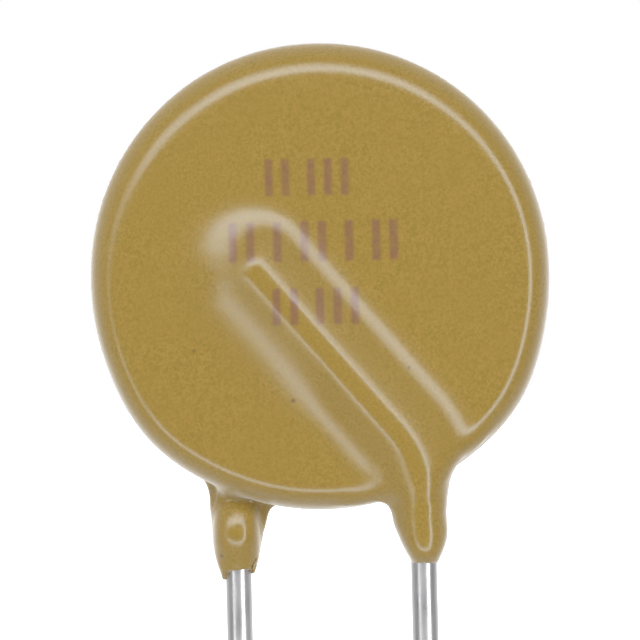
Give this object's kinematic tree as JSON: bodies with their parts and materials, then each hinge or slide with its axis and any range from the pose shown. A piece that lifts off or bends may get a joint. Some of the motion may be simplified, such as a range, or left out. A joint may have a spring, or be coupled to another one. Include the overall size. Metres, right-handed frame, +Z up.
{
  "type": "resettable fuse",
  "caption": "Round polymer resettable fuse in a dipped ochre epoxy coat, with two tinned radial leads for a circuit board.",
  "frame": {"origin": "midway between the two leads at the seating plane, where the coated legs meet the board", "axes": "+X along the row of leads, +Y through the thickness from the front face to the rear face, +Z up from the board to the top of the disc"},
  "size_m": [0.0126, 0.0028, 0.0223],
  "materials": {
    "epoxy": "dipped ochre epoxy, satin gloss with a fine mottle",
    "tinned_wire": "drawn wire with bright tin plating",
    "solder": "satin solder",
    "foil": "matt nickel foil",
    "polymer": "black carbon-filled polymer"
  },
  "bodies": {
    "root": {"epoxy_coating": "epoxy", "polymer_disc": "polymer", "front_foil": "foil", "rear_foil": "foil", "front_lead": "tinned_wire", "rear_lead": "tinned_wire", "front_solder": "solder", "rear_solder": "solder"}
  },
  "joints": []
}
